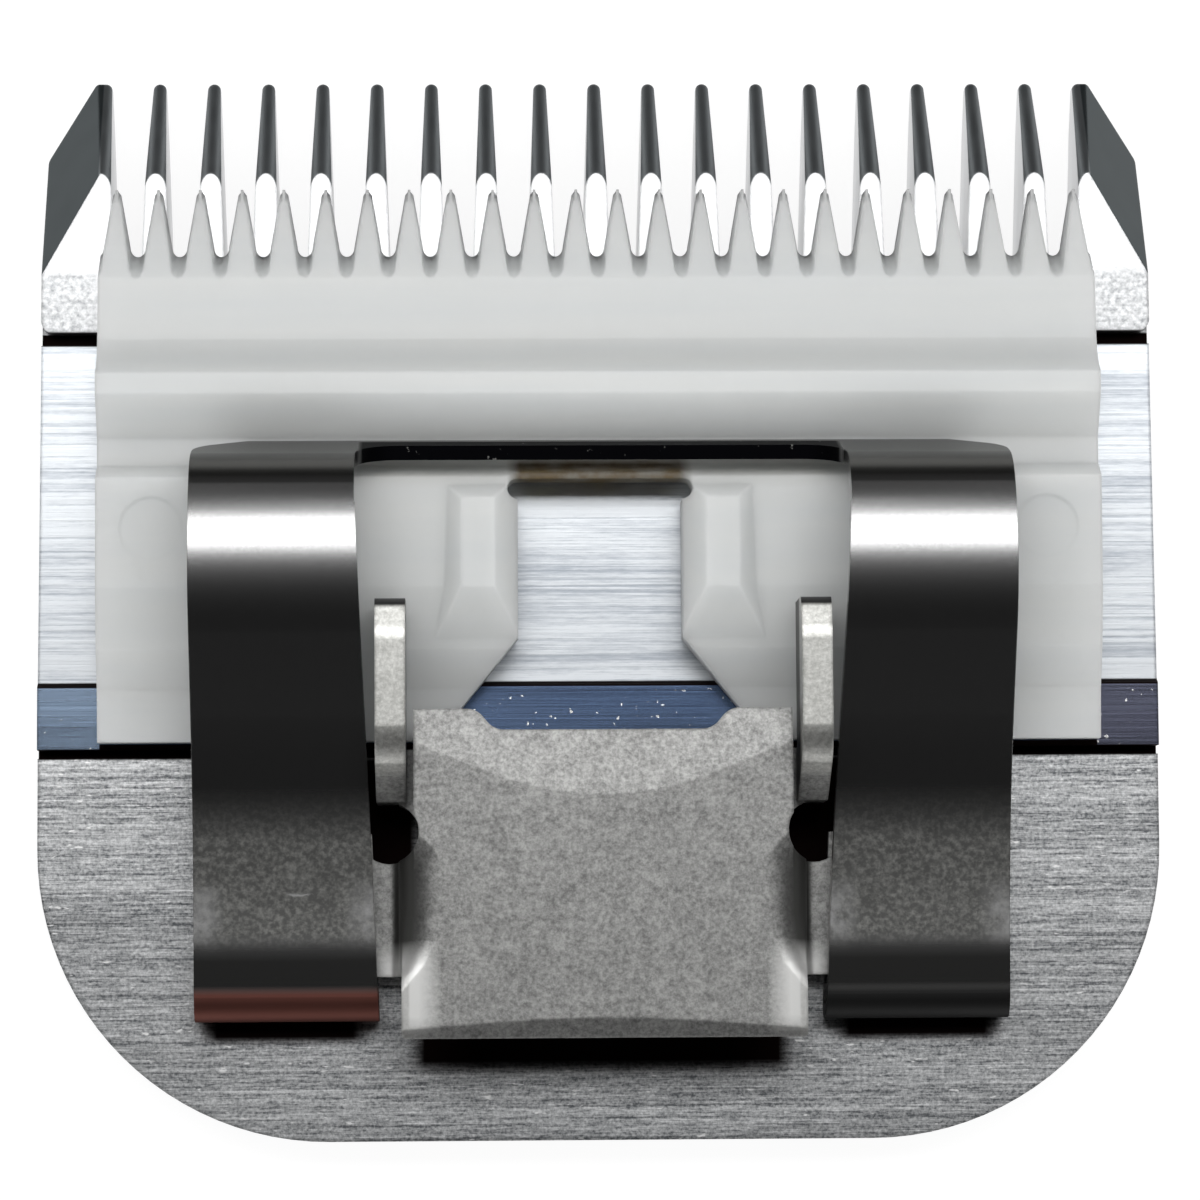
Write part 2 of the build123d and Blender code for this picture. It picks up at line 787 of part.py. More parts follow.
    # threaded holes in the feet
    with BuildSketch(Plane.XY.offset(leaf_top - margin)):
        with Locations((screw_x, screw_y), (-screw_x, screw_y)):
            Circle(screw_diameter / 2 + screw_clearance)
    extrude(amount=sheet + 2 * margin, mode=Mode.SUBTRACT)
socket.part.label = "blade_socket"
export_step(socket.part, "parts/blade_socket.step")


# Clamp screws

head_half = screw_head_diameter / 2
shank_half = screw_diameter / 2
screw_end = foot_top - screw_end_inset
with BuildPart() as screws:
    for side in (1, -1):
        center = side * screw_x
        with BuildSketch(Plane.XZ.offset(-screw_y)):
            with BuildLine():
                Polyline(
                    (center, screw_sink),
                    (center + head_half, screw_sink),
                    (center + shank_half, screw_sink + head_half - shank_half),
                    (center + shank_half, screw_end),
                    (center, screw_end),
                    close=True,
                )
            make_face()
        revolve(axis=Axis((center, screw_y, 0), (0, 0, 1)))
        with BuildSketch(Plane.XY.offset(screw_sink)):
            with Locations((center, screw_y)):
                Rectangle(2 * screw_head_diameter, driver_slot_width)
        extrude(amount=driver_slot_depth, mode=Mode.SUBTRACT)
screws.part.label = "clamp_screws"
export_step(screws.part, "parts/clamp_screws.step")
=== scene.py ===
import math

import bpy
from mathutils import Matrix, Vector

# Detachable blade set for a hair clipper, seen from above on a white table under one large soft box.
# Metres. The comb lies flat on z = 0, its teeth point to +Y, and X runs along the row of teeth.

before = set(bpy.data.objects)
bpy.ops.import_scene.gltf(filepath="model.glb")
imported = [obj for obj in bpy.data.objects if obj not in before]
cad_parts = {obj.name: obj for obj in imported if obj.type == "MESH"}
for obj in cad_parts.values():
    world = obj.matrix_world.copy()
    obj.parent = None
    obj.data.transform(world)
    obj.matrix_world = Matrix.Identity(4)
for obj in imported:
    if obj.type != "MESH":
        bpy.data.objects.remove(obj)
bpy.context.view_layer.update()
MM = 0.001

# The open side of a mask: in millimetres, farther out than any piece reaches
FAR = 30.0

# Mix sockets for colours, by number because their names repeat
FACTOR = 0
FIRST = 6
SECOND = 7
MIXED = 2


def linear(hex_colour):
    """Turns an sRGB hex colour such as "d0d2d4" into linear red, green, blue and alpha."""
    channels = [int(hex_colour[i:i + 2], 16) / 255 for i in (0, 2, 4)]
    return [c / 12.92 if c <= 0.04045 else ((c + 0.055) / 1.055) ** 2.4 for c in channels] + [1.0]


def add(tree, kind, inputs=None, **settings):
    """Adds a node, makes its settings, and fills each input with a value or a link."""
    made = tree.nodes.new("ShaderNode" + kind)
    for name, value in settings.items():
        setattr(made, name, value)
    for socket, value in (inputs or {}).items():
        if isinstance(value, bpy.types.NodeSocket):
            tree.links.new(value, made.inputs[socket])
        else:
            made.inputs[socket].default_value = value
    return made


def new_material(name):
    """An empty node material, its tree, the object's coordinates, and its points in millimetres."""
    material = bpy.data.materials.new(name)
    material.use_nodes = True
    tree = material.node_tree
    tree.nodes.clear()
    coordinates = add(tree, "TexCoord")
    in_mm = add(tree, "VectorMath", {0: coordinates.outputs["Object"], "Scale": 1 / MM}, operation="SCALE")
    return material, tree, coordinates, in_mm.outputs[0]


def between(tree, value, low=-FAR, high=FAR, soft=0.03, within=None):
    """A mask that is 1 where the value lies between low and high, with soft borders, inside another mask."""
    rise = add(tree, "MapRange", {"Value": value, "From Min": low - soft, "From Max": low + soft})
    fall = add(tree, "MapRange", {"Value": value, "From Min": high + soft, "From Max": high - soft})
    mask = add(tree, "Math", {0: rise.outputs[0], 1: fall.outputs[0]}, operation="MULTIPLY")
    if within is not None:
        mask = add(tree, "Math", {0: mask.outputs[0], 1: within}, operation="MULTIPLY")
    return mask.outputs[0]


def surface_ground_steel():
    """Hardened comb steel, surface-ground across the teeth: fine straight lines that spread the light along
    the blade, a polished rail whose slate blue is a painted reflection, dark lapped ramps, pitted ends,
    darkened grooves, and painted shadows behind the cutter and around the socket and the loops."""
    material, tree, coordinates, mm = new_material("surface_ground_steel")
    x, y, z = add(tree, "SeparateXYZ", {0: mm}).outputs
    sideways = add(tree, "Math", {0: x}, operation="ABSOLUTE").outputs[0]
    facing_up = add(tree, "SeparateXYZ", {0: coordinates.outputs["Normal"]}).outputs[2]
    level = between(tree, facing_up, low=0.97)
    leaning = between(tree, facing_up, low=0.3, high=0.97)
    upward = between(tree, facing_up, low=0.3)
    not_below = between(tree, facing_up, low=-0.5)

    # where each finish lies along the blade, in millimetres: none of them reaches the plain underside
    on_rear = between(tree, y, high=-6.7, within=not_below)
    on_rail = between(tree, y, low=-6.6, high=-3.64, within=upward)
    on_run = between(tree, y, low=11.7, within=not_below)
    on_ramp = between(tree, y, low=13.5, within=leaning)
    at_ends = between(tree, sideways, low=21.6, soft=0.8)
    pitted_ends = between(tree, y, low=11.7, high=14.6, soft=0.3, within=at_ends)
    outermost = between(tree, sideways, low=21.9)

    # wheel lines 0.17 mm wide, flecks 0.1 mm wide and 1 mm long, and bands 2 mm wide: real wheel lines are
    # finer than a pixel, so these are as coarse as they need to be to show
    long_way = add(tree, "Mapping", {"Vector": mm, "Scale": (0.05, 6.0, 1.0)})
    lines = add(tree, "TexNoise", {
        "Vector": long_way.outputs[0], "Scale": 1.0, "Detail": 4.0, "Roughness": 0.75,
    })
    short_way = add(tree, "Mapping", {"Vector": mm, "Scale": (1.1, 9.0, 1.0)})
    flecks = add(tree, "TexNoise", {
        "Vector": short_way.outputs[0], "Scale": 1.0, "Detail": 4.0, "Roughness": 0.7,
    })
    wide_way = add(tree, "Mapping", {"Vector": mm, "Scale": (0.04, 0.55, 1.0)})
    bands = add(tree, "TexNoise", {"Vector": wide_way.outputs[0], "Scale": 1.0, "Detail": 2.0})

    # pits, dust and pepper 0.15 to 0.3 mm across, and sparks 0.2 mm wide and 0.7 mm long
    pits = add(tree, "TexNoise", {"Vector": mm, "Scale": 4.5, "Detail": 3.0, "Roughness": 0.6})
    dust = add(tree, "TexNoise", {"Vector": mm, "Scale": 3.4, "Detail": 1.0})
    pepper = add(tree, "TexNoise", {"Vector": mm, "Scale": 6.5, "Detail": 3.0, "Roughness": 0.7})
    spark_way = add(tree, "Mapping", {"Vector": mm, "Scale": (1.5, 5.0, 1.0)})
    sparks = add(tree, "TexNoise", {"Vector": spark_way.outputs[0], "Scale": 1.0, "Detail": 2.0})

    # rear body: grey, peppered with bright and dark flecks, and a few sparks
    rear_flecks = 1.2
    rear_pepper = 1.1
    brushed = add(tree, "Math", {0: flecks.outputs[0], 1: rear_flecks, 2: lines.outputs[0]},
                  operation="MULTIPLY_ADD")
    brushed = add(tree, "Math", {0: pepper.outputs[0], 1: rear_pepper, 2: brushed.outputs[0]},
                  operation="MULTIPLY_ADD")
    brushed = add(tree, "MapRange", {"Value": brushed.outputs[0], "From Min": 1.35, "From Max": 2.0})
    grey = add(tree, "Mix", {
        FACTOR: brushed.outputs[0], FIRST: linear("66696c"), SECOND: linear("ecedee"),
    }, data_type="RGBA")
    sparkling = add(tree, "MapRange", {"Value": sparks.outputs[0], "From Min": 0.68, "From Max": 0.74})
    rear = add(tree, "Mix", {
        FACTOR: sparkling.outputs[0], FIRST: grey.outputs[MIXED], SECOND: linear("ffffff"),
    }, data_type="RGBA")

    # middle face: white, drawn across with grey lines that thicken in bands
    middle_flecks = 0.45
    thick = add(tree, "MapRange", {
        "Value": bands.outputs[0], "From Min": 0.35, "From Max": 0.65, "To Min": 0.30, "To Max": 0.52,
    })
    drawn = add(tree, "Math", {0: flecks.outputs[0], 1: middle_flecks, 2: lines.outputs[0]},
                operation="MULTIPLY_ADD")
    drawn = add(tree, "Math", {0: drawn.outputs[0], 1: thick.outputs[0]}, operation="SUBTRACT")
    clean = add(tree, "MapRange", {"Value": drawn.outputs[0], "From Min": 0.1, "From Max": 0.36})
    middle = add(tree, "Mix", {
        FACTOR: clean.outputs[0], FIRST: linear("a6acb4"), SECOND: linear("d6dade"),
    }, data_type="RGBA")
    body = add(tree, "Mix", {
        FACTOR: on_rear, FIRST: middle.outputs[MIXED], SECOND: rear.outputs[MIXED],
    }, data_type="RGBA")

    # rail: slate blue as a painted reflection, paler at the left end and greyer at the right, with white dust
    left_end = between(tree, x, high=-20.0, soft=1.5)
    right_end = between(tree, x, low=20.0, soft=1.5)
    reflected_blue = add(tree, "Mix", {
        FACTOR: left_end, FIRST: linear("5c6f8e"), SECOND: linear("8b9eb6"),
    }, data_type="RGBA")
    reflected_blue = add(tree, "Mix", {
        FACTOR: right_end, FIRST: reflected_blue.outputs[MIXED], SECOND: linear("626576"),
    }, data_type="RGBA")
    specks = add(tree, "MapRange", {"Value": dust.outputs[0], "From Min": 0.7, "From Max": 0.74})
    dusty = add(tree, "Mix", {
        FACTOR: specks.outputs[0], FIRST: reflected_blue.outputs[MIXED], SECOND: linear("ffffff"),
    }, data_type="RGBA")
    railed = add(tree, "Mix", {
        FACTOR: on_rail, FIRST: body.outputs[MIXED], SECOND: dusty.outputs[MIXED],
    }, data_type="RGBA")

    # running face and teeth: bright, with pits at both ends, and charcoal ramps
    pitted = add(tree, "MapRange", {"Value": pits.outputs[0], "From Min": 0.3, "From Max": 0.72})
    pitted = add(tree, "Math", {0: pitted.outputs[0], 1: pitted_ends}, operation="MULTIPLY")
    run = add(tree, "Mix", {
        FACTOR: pitted.outputs[0], FIRST: linear("d6d7d8"), SECOND: linear("8e9092"),
    }, data_type="RGBA")
    running = add(tree, "Mix", {
        FACTOR: on_run, FIRST: railed.outputs[MIXED], SECOND: run.outputs[MIXED],
    }, data_type="RGBA")
    charcoal = add(tree, "Mix", {
        FACTOR: outermost, FIRST: linear("74787a"), SECOND: linear("42484a"),
    }, data_type="RGBA")
    lapped = add(tree, "Mix", {
        FACTOR: on_ramp, FIRST: running.outputs[MIXED], SECOND: charcoal.outputs[MIXED],
    }, data_type="RGBA")

    # darkened: the floors of both grooves, and painted shadows along the cutter's rear edge, in the corners
    # beside the socket, and below the cover and the loops
    top_side = between(tree, z, low=2.75, soft=0.05)
    under_cutter = between(tree, sideways, high=21.8, within=top_side)
    beside_socket = between(tree, sideways, low=8.0, high=10.9, soft=0.3, within=top_side)
    below_cover = between(tree, sideways, high=8.1, soft=0.4, within=top_side)
    below_arms = between(tree, sideways, low=10.3, high=17.2, soft=0.5, within=top_side)
    darkened = between(tree, y, low=11.28, high=11.86, within=top_side)
    for place in (
        between(tree, y, low=-6.86, high=-6.43, within=top_side),
        between(tree, y, low=-3.78, high=-3.54, within=top_side),
        between(tree, y, low=-6.86, high=-6.22, within=under_cutter),
        between(tree, y, low=-12.4, high=-6.8, soft=0.2, within=beside_socket),
        between(tree, y, low=-20.4, high=-6.8, soft=0.35, within=below_cover),
        between(tree, y, low=-19.2, high=-12.0, soft=0.25, within=below_arms),
    ):
        darkened = add(tree, "Math", {0: darkened, 1: place}, operation="MAXIMUM").outputs[0]
    colour = add(tree, "Mix", {
        FACTOR: darkened, FIRST: lapped.outputs[MIXED], SECOND: linear("1c1312"),
    }, data_type="RGBA")

    # ground faces scatter more than the rail, the ramps lie between, and the darkened places are dull
    rail_polish = -0.13
    ramp_polish = -0.06
    darkened_dullness = 0.4
    rough = add(tree, "MapRange", {"Value": bands.outputs[0], "To Min": 0.30, "To Max": 0.46})
    for place, change in ((on_rail, rail_polish), (on_ramp, ramp_polish), (darkened, darkened_dullness)):
        rough = add(tree, "Math", {0: place, 1: change, 2: rough.outputs[0]}, operation="MULTIPLY_ADD")
    scored = add(tree, "Math", {0: lines.outputs[0], 1: level}, operation="MULTIPLY")
    rounded = add(tree, "Bevel", {"Radius": 0.2 * MM}, samples=2)
    bump = add(tree, "Bump", {
        "Height": scored.outputs[0], "Strength": 0.25, "Distance": 0.02 * MM, "Normal": rounded.outputs[0],
    })
    shader = add(tree, "BsdfPrincipled", {
        "Base Color": colour.outputs[MIXED], "Metallic": 1.0, "Roughness": rough.outputs[0],
        "Normal": bump.outputs[0],
    })
    add(tree, "OutputMaterial", {"Surface": shader.outputs[0]})
    return material


def sintered_white_ceramic():
    """Zirconia, moulded and sintered: satin white that lets light through its thin teeth, so that its edges
    and hollows stay soft, with faint flow marks, a faint olive darkening under the bar, and a brown oil
    stain in front of the drive slot that also stands as painted shade on the slot's front wall."""
    material, tree, coordinates, mm = new_material("sintered_white_ceramic")
    x, y = add(tree, "SeparateXYZ", {0: mm}).outputs[:2]
    sideways = add(tree, "Math", {0: x}, operation="ABSOLUTE").outputs[0]
    facing_up = add(tree, "SeparateXYZ", {0: coordinates.outputs["Normal"]}).outputs[2]

    # flow marks 1 mm wide along the blade, a grain of 0.1 mm, and patches of oil about 1 mm across
    flow = add(tree, "Mapping", {"Vector": mm, "Scale": (0.06, 0.9, 0.9)})
    marks = add(tree, "TexNoise", {"Vector": flow.outputs[0], "Scale": 1.0, "Detail": 3.0})
    grain = add(tree, "TexNoise", {"Vector": mm, "Scale": 9.0, "Detail": 2.0})
    patches = add(tree, "TexNoise", {"Vector": mm, "Scale": 0.9, "Detail": 4.0, "Roughness": 0.6})
    clean = add(tree, "Mix", {
        FACTOR: marks.outputs[0], FIRST: linear("c4c7c8"), SECOND: linear("cdcecc"),
    }, data_type="RGBA")

    # a faint olive darkening under the bar, and a brown oil stain in front of the slot, dark enough to stand
    # also as painted shade on the slot's front wall
    olive_darkening_strength = 0.15
    top_side = between(tree, facing_up, low=-0.5)
    between_arms = between(tree, sideways, high=10.4, soft=0.8, within=top_side)
    under_bar = between(tree, y, low=4.95, high=6.8, soft=0.35, within=between_arms)
    olive_darkening = add(tree, "Math", {0: under_bar, 1: olive_darkening_strength}, operation="MULTIPLY")
    olive_darkened = add(tree, "Mix", {
        FACTOR: olive_darkening.outputs[0], FIRST: clean.outputs[MIXED], SECOND: linear("8f8b6c"),
    }, data_type="RGBA")
    near_slot = between(tree, sideways, high=3.75, soft=0.3)
    before_slot = between(tree, y, low=4.6, high=6.0, soft=0.25, within=near_slot)
    soaked = add(tree, "MapRange", {
        "Value": patches.outputs[0], "From Min": 0.25, "From Max": 0.6, "To Min": 0.75, "To Max": 1.0,
    })
    stain_and_shade = add(tree, "Math", {0: before_slot, 1: soaked.outputs[0]}, operation="MULTIPLY")
    stain_and_shade_colour = add(tree, "Mix", {
        FACTOR: patches.outputs[0], FIRST: linear("2a2614"), SECOND: linear("5e4c2c"),
    }, data_type="RGBA")
    colour = add(tree, "Mix", {
        FACTOR: stain_and_shade.outputs[0], FIRST: olive_darkened.outputs[MIXED], SECOND: stain_and_shade_colour.outputs[MIXED],
    }, data_type="RGBA")

    satin = add(tree, "MapRange", {"Value": grain.outputs[0], "To Min": 0.38, "To Max": 0.48})
    rounded = add(tree, "Bevel", {"Radius": 0.2 * MM}, samples=3)
    bump = add(tree, "Bump", {
        "Height": grain.outputs[0], "Strength": 0.06, "Distance": 0.02 * MM, "Normal": rounded.outputs[0],
    })
    shader = add(tree, "BsdfPrincipled", {
        "Base Color": colour.outputs[MIXED], "Roughness": satin.outputs[0], "IOR": 1.6,
        "Subsurface Weight": 1.0, "Subsurface Radius": (1.0, 1.0, 1.0), "Subsurface Scale": 3.5 * MM,
        "Normal": bump.outputs[0],
    })
    add(tree, "OutputMaterial", {"Surface": shader.outputs[0]})
    return material


def rolled_spring_strip():
    """Hard-rolled spring steel, bright-polished: a dark mirror along its bends, clouded and scratched where
    fingers press it down, with painted shade on the forward-facing front bends and the rear end, a brown
    heat tint on the left loop, an almost black right loop, and a black bar top."""
    material, tree, coordinates, mm = new_material("rolled_spring_strip")
    x, y, z = add(tree, "SeparateXYZ", {0: mm}).outputs
    sideways = add(tree, "Math", {0: x}, operation="ABSOLUTE").outputs[0]
    facing_forward = add(tree, "SeparateXYZ", {0: coordinates.outputs["Normal"]}).outputs[1]

    # clouds 0.8 mm across, a grain of 0.17 mm, scuffs of 0.25 mm, and dust of 0.5 mm
    clouds = add(tree, "TexNoise", {"Vector": mm, "Scale": 1.3, "Detail": 5.0, "Roughness": 0.6})
    grain = add(tree, "TexNoise", {"Vector": mm, "Scale": 6.0, "Detail": 3.0, "Roughness": 0.6})
    scuffs = add(tree, "TexNoise", {"Vector": mm, "Scale": 4.0, "Detail": 4.0, "Roughness": 0.65})
    dust = add(tree, "TexNoise", {"Vector": mm, "Scale": 2.2, "Detail": 4.0, "Roughness": 0.6})
    rolled = add(tree, "Mix", {
        FACTOR: grain.outputs[0], FIRST: linear("a2a2a2"), SECOND: linear("bababa"),
    }, data_type="RGBA")

    # where fingers press the arms down, the polish is scuffed, with both edges worn bright and one scratch
    pressed_from = add(tree, "MapRange", {"Value": y, "From Min": -8.3, "From Max": -10.7})
    pressed_to = add(tree, "MapRange", {"Value": y, "From Min": -15.3, "From Max": -14.5})
    pressed = add(tree, "Math", {0: pressed_from.outputs[0], 1: pressed_to.outputs[0]}, operation="MULTIPLY")
    speckled = add(tree, "MapRange", {"Value": scuffs.outputs[0], "From Min": 0.42, "From Max": 0.66})
    scuffed = add(tree, "Mix", {
        FACTOR: speckled.outputs[0], FIRST: linear("9c9c9a"), SECOND: linear("dadad6"),
    }, data_type="RGBA")
    handled = add(tree, "Mix", {
        FACTOR: pressed.outputs[0], FIRST: rolled.outputs[MIXED], SECOND: scuffed.outputs[MIXED],
    }, data_type="RGBA")
    gripped = between(tree, y, low=-14.9, high=-12.7, soft=0.7)
    outer_edge = between(tree, sideways, low=16.6, soft=0.4, within=gripped)
    inner_edge = between(tree, sideways, high=10.7, soft=0.4, within=gripped)
    worn = add(tree, "Math", {0: outer_edge, 1: inner_edge}, operation="MAXIMUM")
    patchy = add(tree, "MapRange", {"Value": clouds.outputs[0], "From Min": 0.3, "From Max": 0.65})
    worn = add(tree, "Math", {0: worn.outputs[0], 1: patchy.outputs[0]}, operation="MULTIPLY")
    scratch_wave = 0.5
    wavy = add(tree, "Math", {0: clouds.outputs[0], 1: scratch_wave, 2: y}, operation="MULTIPLY_ADD")
    scratch_along = between(tree, x, low=-13.5, high=-12.6, soft=0.1)
    scratch = between(tree, wavy.outputs[0], low=-12.64, high=-12.56, within=scratch_along)
    worn = add(tree, "Math", {0: worn.outputs[0], 1: scratch}, operation="MAXIMUM")
    steel = add(tree, "Mix", {
        FACTOR: worn.outputs[0], FIRST: handled.outputs[MIXED], SECOND: linear("ffffff"),
    }, data_type="RGBA")

    # behind that the strip is darkened as painted shade: the left loop has a brown heat tint and the right
    # one is almost black
    rear_end = between(tree, y, high=-15.3, soft=0.4)
    rear_shaded = add(tree, "Mix", {
        FACTOR: rear_end, FIRST: steel.outputs[MIXED], SECOND: linear("6c6c6b"),
    }, data_type="RGBA")
    left_side = between(tree, x, high=0.0)
    tint = add(tree, "Mix", {
        FACTOR: left_side, FIRST: linear("383838"), SECOND: linear("7c5048"),
    }, data_type="RGBA")
    on_loop = between(tree, y, high=-16.95, soft=0.2)
    tinted = add(tree, "Mix", {
        FACTOR: on_loop, FIRST: rear_shaded.outputs[MIXED], SECOND: tint.outputs[MIXED],
    }, data_type="RGBA")

    # painted shade darkens the forward-facing front bends, and the bar's top is black with a little white
    # dust
    forward = add(tree, "MapRange", {"Value": facing_forward, "From Min": 0.3, "From Max": 0.55})
    front_shaded = add(tree, "Mix", {
        FACTOR: forward.outputs[0], FIRST: tinted.outputs[MIXED], SECOND: linear("4c4c4a"),
    }, data_type="RGBA")
    at_front = between(tree, y, low=4.0)
    front_bar = between(tree, sideways, high=10.35, soft=0.1, within=at_front)
    darkened = between(tree, z, low=6.0, high=8.2, within=front_bar)
    specks = add(tree, "MapRange", {"Value": dust.outputs[0], "From Min": 0.66, "From Max": 0.72})
    bar_top_black = add(tree, "Mix", {
        FACTOR: specks.outputs[0], FIRST: linear("0b0b0e"), SECOND: linear("9a9a97"),
    }, data_type="RGBA")
    colour = add(tree, "Mix", {
        FACTOR: darkened, FIRST: front_shaded.outputs[MIXED], SECOND: bar_top_black.outputs[MIXED],
    }, data_type="RGBA")

    # scuffs scatter the light most at their front end, and the loops and the black bar top are dull
    polish = 0.26
    loop_dullness = 0.3
    bar_top_dullness = 0.4
    fading = add(tree, "MapRange", {
        "Value": y, "From Min": -15.0, "From Max": -10.4, "To Min": 0.09, "To Max": 0.19,
    })
    clouded = add(tree, "MapRange", {
        "Value": clouds.outputs[0], "From Min": 0.2, "From Max": 0.7, "To Min": 0.8, "To Max": 1.1,
    })
    clouded = add(tree, "Math", {0: clouded.outputs[0], 1: fading.outputs[0]}, operation="MULTIPLY")
    rough = add(tree, "Math", {0: clouded.outputs[0], 1: pressed.outputs[0], 2: polish},
                operation="MULTIPLY_ADD")
    for place, change in ((on_loop, loop_dullness), (darkened, bar_top_dullness)):
        rough = add(tree, "Math", {0: place, 1: change, 2: rough.outputs[0]}, operation="MULTIPLY_ADD")
    rounded = add(tree, "Bevel", {"Radius": 0.06 * MM}, samples=2)
    bump = add(tree, "Bump", {
        "Height": grain.outputs[0], "Strength": 0.06, "Distance": 0.01 * MM, "Normal": rounded.outputs[0],
    })
    shader = add(tree, "BsdfPrincipled", {
        "Base Color": colour.outputs[MIXED], "Metallic": 1.0, "Roughness": rough.outputs[0],
        "Normal": bump.outputs[0],
    })
    add(tree, "OutputMaterial", {"Surface": shader.outputs[0]})
    return material


def tumbled_sheet_steel():
    """Pressed sheet steel, tumbled with grit after folding: an even matte grey with a fine sandy grain,
    painted shade on the folded sides and the ears' noses, a painted highlight on the flared corners, and
    rounded edges that catch the light."""
    material, tree, coordinates, mm = new_material("tumbled_sheet_steel")
    x, y, z = add(tree, "SeparateXYZ", {0: mm}).outputs
    sideways = add(tree, "Math", {0: x}, operation="ABSOLUTE").outputs[0]
    facing_right, facing_forward = add(tree, "SeparateXYZ", {0: coordinates.outputs["Normal"]}).outputs[:2]
    leaning = add(tree, "Math", {0: facing_right}, operation="ABSOLUTE")

    # the grit's dents are 0.2 mm across, over a mottle of 0.7 mm
    mottle_share = 0.35
    grit = add(tree, "TexNoise", {"Vector": mm, "Scale": 5.0, "Detail": 4.0, "Roughness": 0.75})
    mottle = add(tree, "TexNoise", {"Vector": mm, "Scale": 1.4, "Detail": 3.0, "Roughness": 0.6})
    sandy = add(tree, "Math", {0: mottle.outputs[0], 1: mottle_share, 2: grit.outputs[0]},
                operation="MULTIPLY_ADD")
    spread = add(tree, "MapRange", {"Value": sandy.outputs[0], "From Min": 0.5, "From Max": 0.86})
    matte = add(tree, "Mix", {
        FACTOR: spread.outputs[0], FIRST: linear("767675"), SECOND: linear("b2b2b0"),
    }, data_type="RGBA")

    # painted shade darkens the sideways-facing folded sides, and a painted highlight lightens the flared
    # corners
    side_shade = add(tree, "MapRange", {"Value": leaning.outputs[0], "From Min": 0.35, "From Max": 0.7})
    side_shaded = add(tree, "Mix", {
        FACTOR: side_shade.outputs[0], FIRST: matte.outputs[MIXED], SECOND: linear("525250"),
    }, data_type="RGBA")
    at_mouth = between(tree, y, low=-18.6, high=-15.4, soft=0.5)
    corner_highlight = between(tree, sideways, low=7.4, high=9.5, soft=0.5, within=at_mouth)
    bright = add(tree, "Mix", {
        FACTOR: corner_highlight, FIRST: side_shaded.outputs[MIXED], SECOND: linear("ececea"),
    }, data_type="RGBA")

    # the ears' sheared top edges are smoother and lighter, and their forward-facing noses carry painted shade
    outside = between(tree, sideways, low=8.3, soft=0.05)
    on_ears = between(tree, z, low=8.8, soft=0.3, within=outside)
    sheared = add(tree, "Mix", {
        FACTOR: spread.outputs[0], FIRST: linear("a8a8a4"), SECOND: linear("d8d8d4"),
    }, data_type="RGBA")
    eared = add(tree, "Mix", {
        FACTOR: on_ears, FIRST: bright.outputs[MIXED], SECOND: sheared.outputs[MIXED],
    }, data_type="RGBA")
    forward = add(tree, "MapRange", {"Value": facing_forward, "From Min": 0.35, "From Max": 0.5})
    nose_shade = add(tree, "Math", {0: forward.outputs[0], 1: on_ears}, operation="MULTIPLY")
    colour = add(tree, "Mix", {
        FACTOR: nose_shade.outputs[0], FIRST: eared.outputs[MIXED], SECOND: linear("484848"),
    }, data_type="RGBA")

    # the flared corners with the painted highlight are also a little glossier
    corner_gloss = -0.08
    rough = add(tree, "MapRange", {"Value": on_ears, "To Min": 0.46, "To Max": 0.34})
    rough = add(tree, "Math", {0: corner_highlight, 1: corner_gloss, 2: rough.outputs[0]}, operation="MULTIPLY_ADD")
    rounded = add(tree, "Bevel", {"Radius": 0.18 * MM}, samples=2)
    bump = add(tree, "Bump", {
        "Height": sandy.outputs[0], "Strength": 0.15, "Distance": 0.02 * MM, "Normal": rounded.outputs[0],
    })
    shader = add(tree, "BsdfPrincipled", {
        "Base Color": colour.outputs[MIXED], "Metallic": 0.85, "Roughness": rough.outputs[0],
        "Normal": bump.outputs[0],
    })
    add(tree, "OutputMaterial", {"Surface": shader.outputs[0]})
    return material


def turned_screw_steel():
    """Plain turned steel: an even dull grey with a faint grain of 0.2 mm."""
    material, tree, _, mm = new_material("turned_screw_steel")
    grain = add(tree, "TexNoise", {"Vector": mm, "Scale": 5.0, "Detail": 3.0})
    colour = add(tree, "Mix", {
        FACTOR: grain.outputs[0], FIRST: linear("77787a"), SECOND: linear("9b9c9d"),
    }, data_type="RGBA")
    shader = add(tree, "BsdfPrincipled", {
        "Base Color": colour.outputs[MIXED], "Metallic": 1.0, "Roughness": 0.4,
    })
    add(tree, "OutputMaterial", {"Surface": shader.outputs[0]})
    return material


finishes = {
    "comb_blade": surface_ground_steel(),
    "cutter_blade": sintered_white_ceramic(),
    "tension_spring": rolled_spring_strip(),
    "blade_socket": tumbled_sheet_steel(),
    "clamp_screws": turned_screw_steel(),
}
for node_name, finish in finishes.items():
    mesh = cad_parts[node_name].data
    mesh.materials.clear()
    mesh.materials.append(finish)


# White table: bright to the camera and in reflections, while the light on it still draws the shadow
table_size = 6.0
table_glow = 0.86
table_grey = (0.2, 0.2, 0.2, 1.0)
bpy.ops.object.select_all(action="DESELECT")
bpy.ops.mesh.primitive_plane_add(size=table_size, location=(0, 0, 0))
table = bpy.context.object
table.name = "table"
table_paint = bpy.data.materials.new("white_table")
table_paint.use_nodes = True
tree = table_paint.node_tree
tree.nodes.clear()
ray = add(tree, "LightPath")
seen = add(tree, "Math", {0: ray.outputs["Is Camera Ray"], 1: ray.outputs["Is Glossy Ray"]},
           operation="MAXIMUM")
seen = add(tree, "Math", {0: seen.outputs[0], 1: ray.outputs["Is Transmission Ray"]}, operation="MAXIMUM")
glow = add(tree, "Math", {0: seen.outputs[0], 1: table_glow}, operation="MULTIPLY")
matte = add(tree, "BsdfDiffuse", {"Color": table_grey})
bright = add(tree, "Emission", {"Strength": glow.outputs[0]})
both = add(tree, "AddShader", {0: matte.outputs[0], 1: bright.outputs[0]})
add(tree, "OutputMaterial", {"Surface": both.outputs[0]})
table.data.materials.append(table_paint)


